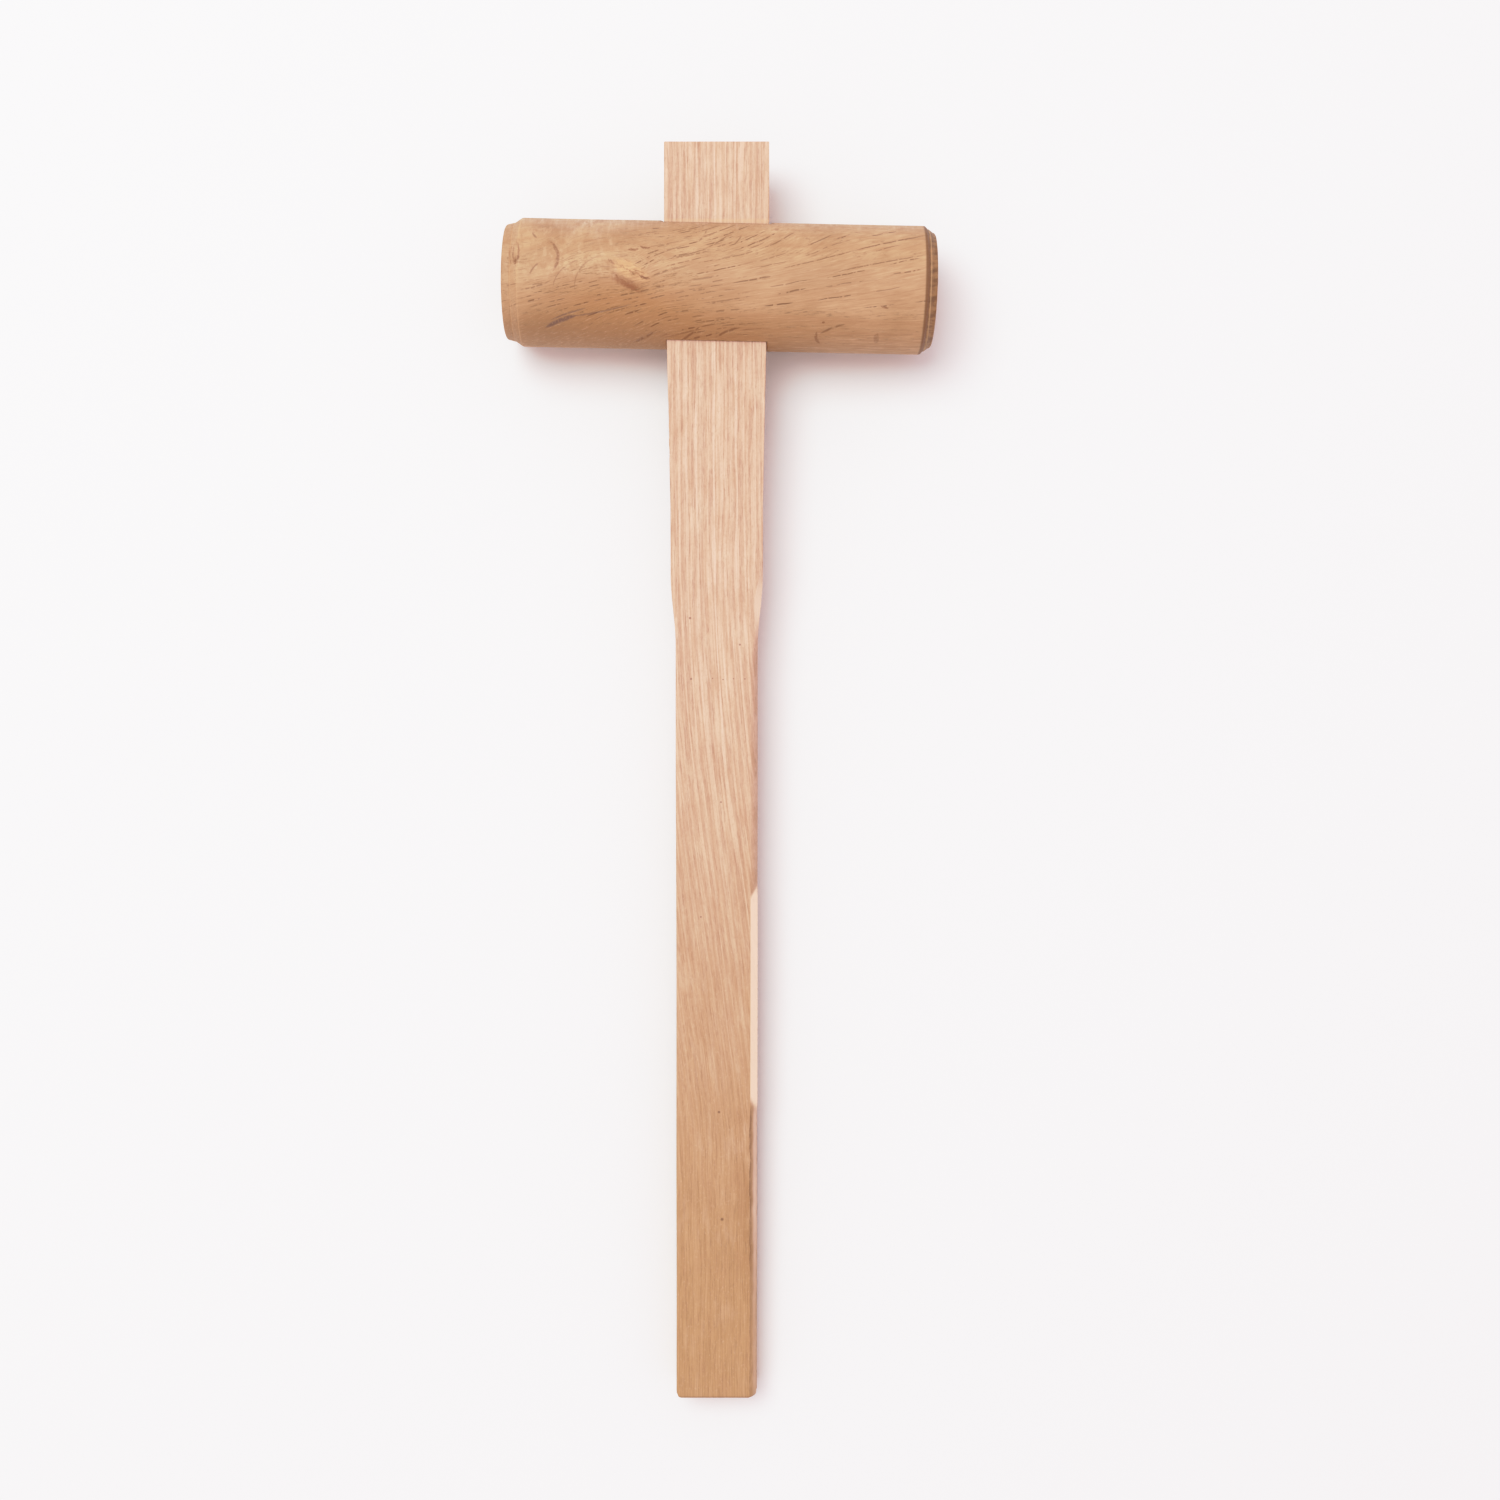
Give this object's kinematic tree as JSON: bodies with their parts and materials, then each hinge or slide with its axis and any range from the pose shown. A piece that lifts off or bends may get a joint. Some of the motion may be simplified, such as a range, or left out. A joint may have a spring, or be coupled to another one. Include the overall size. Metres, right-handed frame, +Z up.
{
  "type": "wooden mallet",
  "caption": "Carpenter's wooden mallet: a turned oak cylinder for a head, with a tapered eye that a flat, flared oak handle wedges into, lying on a bench.",
  "frame": {"origin": "on the bench, under the middle of the mallet's bounding box", "axes": "+Y along the handle to its wide top end, +X across to the right, along the head, +Z up off the bench"},
  "size_m": [0.204, 0.6003, 0.06],
  "materials": {
    "head_oak": "matt",
    "handle_oak": "matt"
  },
  "bodies": {
    "head": {"head": "head_oak"},
    "handle": {"handle": "handle_oak"}
  },
  "joints": [
    {"name": "handle_release", "type": "slide", "parent": "head", "child": "handle", "axis": [0, 0.9993, 0.0362], "range_m": [0, 0.57]}
  ]
}
